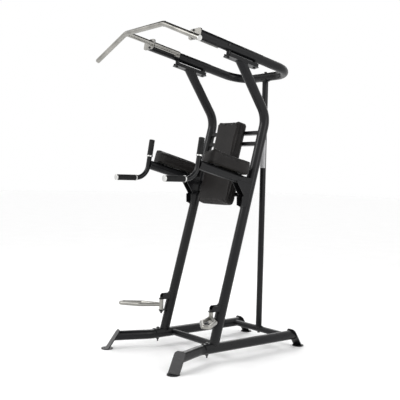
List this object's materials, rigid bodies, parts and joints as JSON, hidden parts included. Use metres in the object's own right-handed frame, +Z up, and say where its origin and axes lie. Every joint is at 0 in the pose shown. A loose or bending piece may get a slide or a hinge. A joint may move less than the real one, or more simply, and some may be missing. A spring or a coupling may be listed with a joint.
{
  "type": "power tower",
  "caption": "Free-standing power tower with a pull-up bar, dip and vertical grips, padded arm rests and back pads, and swing-out steps on leaning uprights.",
  "frame": {"origin": "on the floor, at the centre of the bounding box's base", "axes": "+Z up; -Y is the front, where the grips and the pull-up bar point; +X is the user's left when standing with the back to the pads"},
  "size_m": [1.1248, 1.2346, 2.08],
  "materials": {
    "black_frame": "satin",
    "satin_chrome": "satin",
    "silver_trim": "gloss",
    "black_fastener": "satin",
    "black_rubber": "matte",
    "black_vinyl": "satin",
    "pad_board": "matte",
    "grey_label": "matte"
  },
  "bodies": {
    "frame": {"arm_pad_screws": "black_fastener", "back_pad_screws": "black_fastener", "bar_end_caps": "silver_trim", "dip_end_caps": "silver_trim", "flange_bolts": "black_fastener", "front_cross_tube": "black_frame", "grip_collars": "silver_trim", "left_arm": "black_frame", "left_arm_board": "pad_board", "left_arm_bracket": "black_frame", "left_arm_pad": "black_vinyl", "left_base_rail": "black_frame", "left_boom": "black_frame", "left_dip_grip": "black_rubber", "left_foot_saddle": "black_frame", "left_front_foot": "black_frame", "left_handle_tube": "black_frame", "left_rear_foot": "black_frame", "left_step_bracket": "black_frame", "left_step_pin": "black_fastener", "left_top_plate": "black_frame", "left_upright": "black_frame", "left_vertical_grip": "black_rubber", "lower_back_board": "pad_board", "lower_back_pad": "black_vinyl", "lower_pad_bar_1": "black_frame", "lower_pad_bar_2": "black_frame", "lug_bolts": "black_fastener", "post_bolts": "black_fastener", "post_label": "grey_label", "pull_up_bar": "satin_chrome", "rail_bolts": "black_fastener", "rear_bow": "black_frame", "rear_cross_tube": "black_frame", "rear_post": "black_frame", "right_arm": "black_frame", "right_arm_board": "pad_board", "right_arm_bracket": "black_frame", "right_arm_pad": "black_vinyl", "right_base_rail": "black_frame", "right_boom": "black_frame", "right_dip_grip": "black_rubber", "right_foot_saddle": "black_frame", "right_front_foot": "black_frame", "right_handle_tube": "black_frame", "right_rear_foot": "black_frame", "right_step_bracket": "black_frame", "right_step_pin": "black_fastener", "right_top_plate": "black_frame", "right_upright": "black_frame", "right_vertical_grip": "black_rubber", "top_plate_bolts": "black_fastener", "upper_back_board": "pad_board", "upper_back_pad": "black_vinyl", "upper_pad_bar_1": "black_frame", "upper_pad_bar_2": "black_frame"},
    "left_step": {"left_step": "satin_chrome"},
    "right_step": {"right_step": "satin_chrome"}
  },
  "joints": [
    {"name": "left_step_swing", "type": "hinge", "parent": "frame", "child": "left_step", "pos_m": [-0.268, -0.2175, 0.28], "axis": [0, 0, -1], "range_deg": [-45, 60]},
    {"name": "right_step_swing", "type": "hinge", "parent": "frame", "child": "right_step", "pos_m": [0.268, -0.2175, 0.28], "axis": [0, 0, 1], "range_deg": [-45, 60]}
  ]
}
